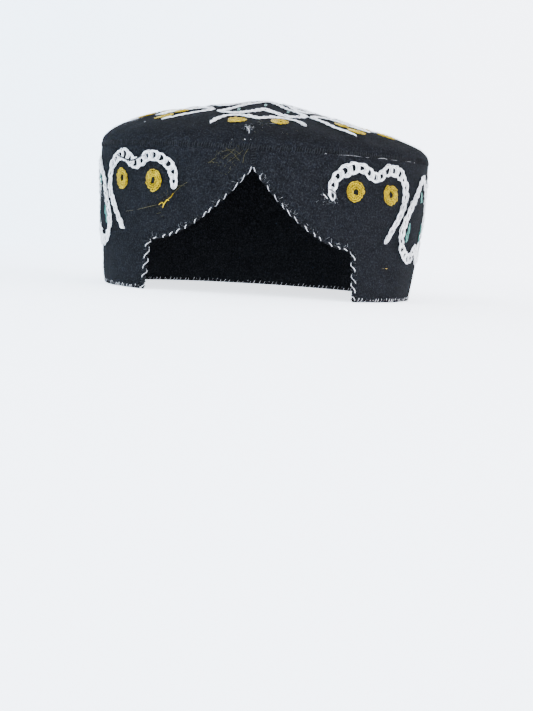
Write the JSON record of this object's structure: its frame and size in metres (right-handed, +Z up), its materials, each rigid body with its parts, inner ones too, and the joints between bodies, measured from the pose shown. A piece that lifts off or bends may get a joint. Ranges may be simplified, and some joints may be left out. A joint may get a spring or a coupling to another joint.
{
  "type": "sindhi cap",
  "caption": "Round felt cap with a low domed crown, an arched opening cut out of the front of its band, and raised white and yellow embroidery.",
  "frame": {"origin": "on the surface that the cap stands on, under the middle of its bounding box", "axes": "+Z up from the rim to the crown, -Y towards the opening at the wearer's forehead, +X towards the wearer's left"},
  "size_m": [0.182, 0.1928, 0.1051],
  "materials": {
    "black_felt": "blue-black boiled wool felt, matt and fuzzy",
    "edge_thread": "black and white cotton thread, overcast along the edge",
    "white_wool": "off-white thread in open chain stitch",
    "yellow_floss": "golden yellow shiny floss in a spiral of chain stitch"
  },
  "bodies": {
    "root": {"side_wall": "black_felt", "crown": "black_felt", "edge_cord": "edge_thread", "wall_heart_1": "white_wool", "wall_heart_2": "white_wool", "wall_heart_3": "white_wool", "wall_heart_4": "white_wool", "wall_heart_5": "white_wool", "wall_heart_6": "white_wool", "wall_heart_7": "white_wool", "wall_heart_8": "white_wool", "wall_heart_9": "white_wool", "wall_ring_1": "yellow_floss", "wall_ring_2": "yellow_floss", "wall_ring_3": "yellow_floss", "wall_ring_4": "yellow_floss", "wall_ring_5": "yellow_floss", "wall_ring_6": "yellow_floss", "wall_ring_7": "yellow_floss", "wall_ring_8": "yellow_floss", "wall_ring_9": "yellow_floss", "wall_ring_10": "yellow_floss", "crown_arch_1": "white_wool", "crown_arch_2": "white_wool", "crown_arch_3": "white_wool", "crown_arch_4": "white_wool", "crown_arch_5": "white_wool", "crown_arch_6": "white_wool", "crown_heart_1": "white_wool", "crown_heart_2": "white_wool", "crown_heart_3": "white_wool", "crown_heart_4": "white_wool", "crown_heart_5": "white_wool", "crown_heart_6": "white_wool", "crown_ring_1": "yellow_floss", "crown_ring_2": "yellow_floss", "crown_ring_3": "yellow_floss", "crown_ring_4": "yellow_floss", "crown_ring_5": "yellow_floss", "crown_ring_6": "yellow_floss", "crown_ring_7": "yellow_floss", "crown_ring_8": "yellow_floss", "crown_ring_9": "yellow_floss", "crown_ring_10": "yellow_floss", "crown_ring_11": "yellow_floss", "crown_ring_12": "yellow_floss", "crown_ring_13": "yellow_floss", "crown_ring_14": "yellow_floss", "crown_ring_15": "yellow_floss", "crown_ring_16": "yellow_floss", "crown_ring_17": "yellow_floss", "crown_ring_18": "yellow_floss"}
  },
  "joints": []
}
